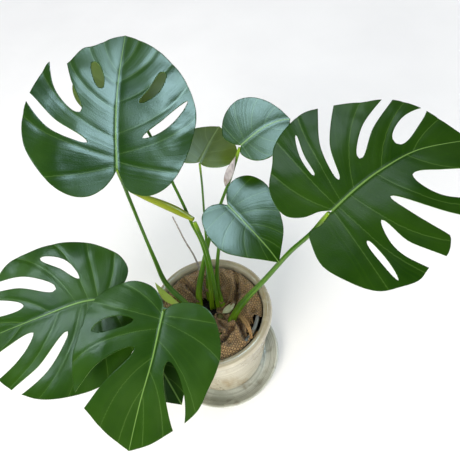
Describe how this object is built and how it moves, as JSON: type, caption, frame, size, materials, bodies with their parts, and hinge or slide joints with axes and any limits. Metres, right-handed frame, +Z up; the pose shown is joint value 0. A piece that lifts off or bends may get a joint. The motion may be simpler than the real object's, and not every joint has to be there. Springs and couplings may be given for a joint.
{
  "type": "potted monstera plant",
  "caption": "Split-leaf houseplant with long stalks and holed, deeply cut leaves, in a thrown stoneware pot on a saucer, burlap drawn over the soil",
  "frame": {"origin": "middle of the saucer's underside, on the surface it stands on", "axes": "+Z up along the pot's axis; +X towards the right-hand large leaf, leaf_b; -Y towards the viewer and the front leaf, leaf_d"},
  "size_m": [0.8156, 0.5811, 0.5979],
  "materials": {
    "stoneware": "cream glaze over thrown stoneware, with fine throwing rings and yellow-brown streaks where it ran thin",
    "saucer_glaze": "grey-white glaze with darker lines at the edges",
    "grow_pot_plastic": "thin moulded grey polypropylene",
    "peat": "dark moist peat and bark crumbs",
    "jute": "coarse plain-weave jute burlap, natural brown",
    "stem_bark": "green-brown stem with ringed leaf scars",
    "stalk": "smooth green stalks, paler and yellower at the foot, satin",
    "leaf": "dark green waxy leaf, paler raised veins, glossy",
    "shaded_leaf": "olive green leaf, paler veins, satin",
    "new_leaf": "soft olive-yellow rolled leaf, satin",
    "fresh_sheath": "pale green sheath, satin",
    "dry_sheath": "dry grey papery sheath, matte"
  },
  "bodies": {
    "root": {"saucer": "saucer_glaze", "pot": "stoneware", "grow_pot": "grow_pot_plastic", "potting_soil": "peat", "crown": "stem_bark", "petiole_a": "stalk", "petiole_b": "stalk", "petiole_c": "stalk", "petiole_d": "stalk", "petiole_e": "stalk", "petiole_f": "stalk", "petiole_g": "stalk", "petiole_i": "stalk", "petiole_j": "stalk", "petiole_young": "stalk", "old_stalk": "dry_sheath", "burlap_cover": "jute", "leaf_a": "leaf", "leaf_b": "leaf", "leaf_c": "leaf", "leaf_d": "leaf", "leaf_e": "leaf", "leaf_f": "leaf", "leaf_g": "shaded_leaf", "leaf_i": "leaf", "leaf_j": "shaded_leaf", "young_leaf": "new_leaf", "sheath_a": "fresh_sheath", "sheath_dry": "dry_sheath", "cataphyll": "fresh_sheath"}
  },
  "joints": []
}
